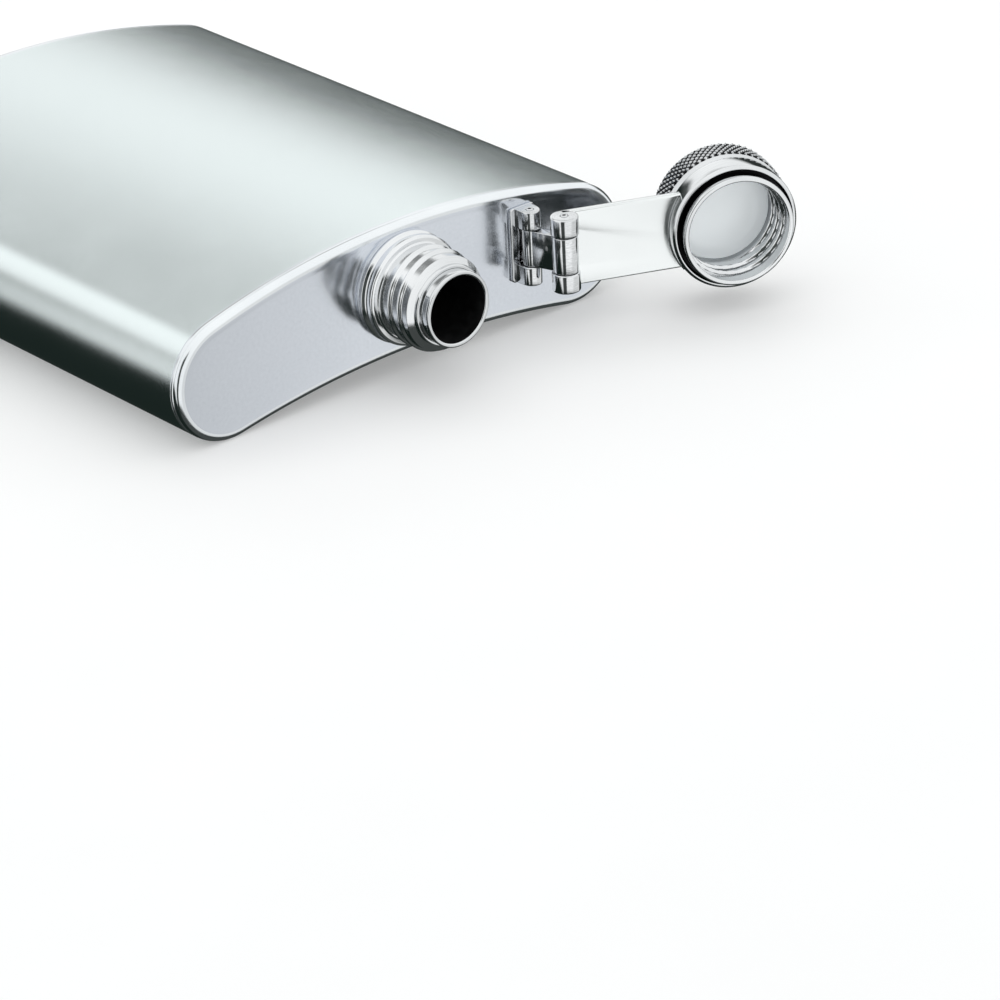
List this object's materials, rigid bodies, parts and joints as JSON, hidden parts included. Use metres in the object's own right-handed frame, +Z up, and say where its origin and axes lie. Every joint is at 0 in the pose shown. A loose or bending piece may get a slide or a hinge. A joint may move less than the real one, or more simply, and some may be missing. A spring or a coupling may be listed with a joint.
{
  "type": "hip flask",
  "caption": "Curved stainless hip flask with a threaded neck and a knurled screw cap held captive by a two-pin hinged arm, shown open.",
  "frame": {"origin": "centre of the flat outer face of the base plate, on the axis of the neck", "axes": "+Z up through the bowed front, with the flask lying on its hollow back; -Y along the neck, from the base to the mouth; +X towards the cap hinge"},
  "size_m": [0.1147, 0.1368, 0.0264],
  "materials": {
    "brushed_body": "fine brushed",
    "satin_plate": "satin",
    "polished_steel": "polished",
    "arm_steel": "satin",
    "pin_steel": "plain",
    "knurled_steel": "diamond knurled",
    "dark_washer": "matt black",
    "liner": "smooth white"
  },
  "bodies": {
    "flask": {"body_sleeve": "brushed_body", "top_plate": "satin_plate", "base_plate": "satin_plate", "neck_collar": "polished_steel", "spout_tube": "polished_steel", "thread_sleeve": "polished_steel", "hinge_bracket": "polished_steel", "bracket_pin": "pin_steel"},
    "link": {"link_plate": "polished_steel"},
    "arm_pin_body": {"arm_pin": "pin_steel"},
    "arm": {"hinge_arm": "arm_steel", "arm_ring": "polished_steel"},
    "cap": {"cap_knob": "knurled_steel", "threaded_bush": "polished_steel", "slip_washer": "dark_washer", "seal_liner": "liner"}
  },
  "joints": [
    {"name": "link_pivot", "type": "hinge", "parent": "flask", "child": "link", "pos_m": [0.0249, -0.1124, 0], "axis": [0, 0, 1], "range_deg": [-10, 23.53]},
    {"name": "arm_pin_turn", "type": "hinge", "parent": "link", "child": "arm_pin_body", "pos_m": [0.027, -0.1186, 0], "axis": [0, 0, 1], "range_deg": [-52, 23]},
    {"name": "arm_pivot", "type": "hinge", "parent": "arm_pin_body", "child": "arm", "pos_m": [0.027, -0.1186, 0], "axis": [0, 0, -1], "range_deg": [-10, 129.44]},
    {"name": "cap_spin", "type": "hinge", "parent": "arm", "child": "cap", "pos_m": [0.05267, -0.13304, 0], "axis": [-0.3987, -0.9171, 0], "range_deg": [-720, 0]}
  ],
  "couplings": [
    {"joint": "arm_pin_turn", "follows": "link_pivot", "ratio": -2.15}
  ]
}
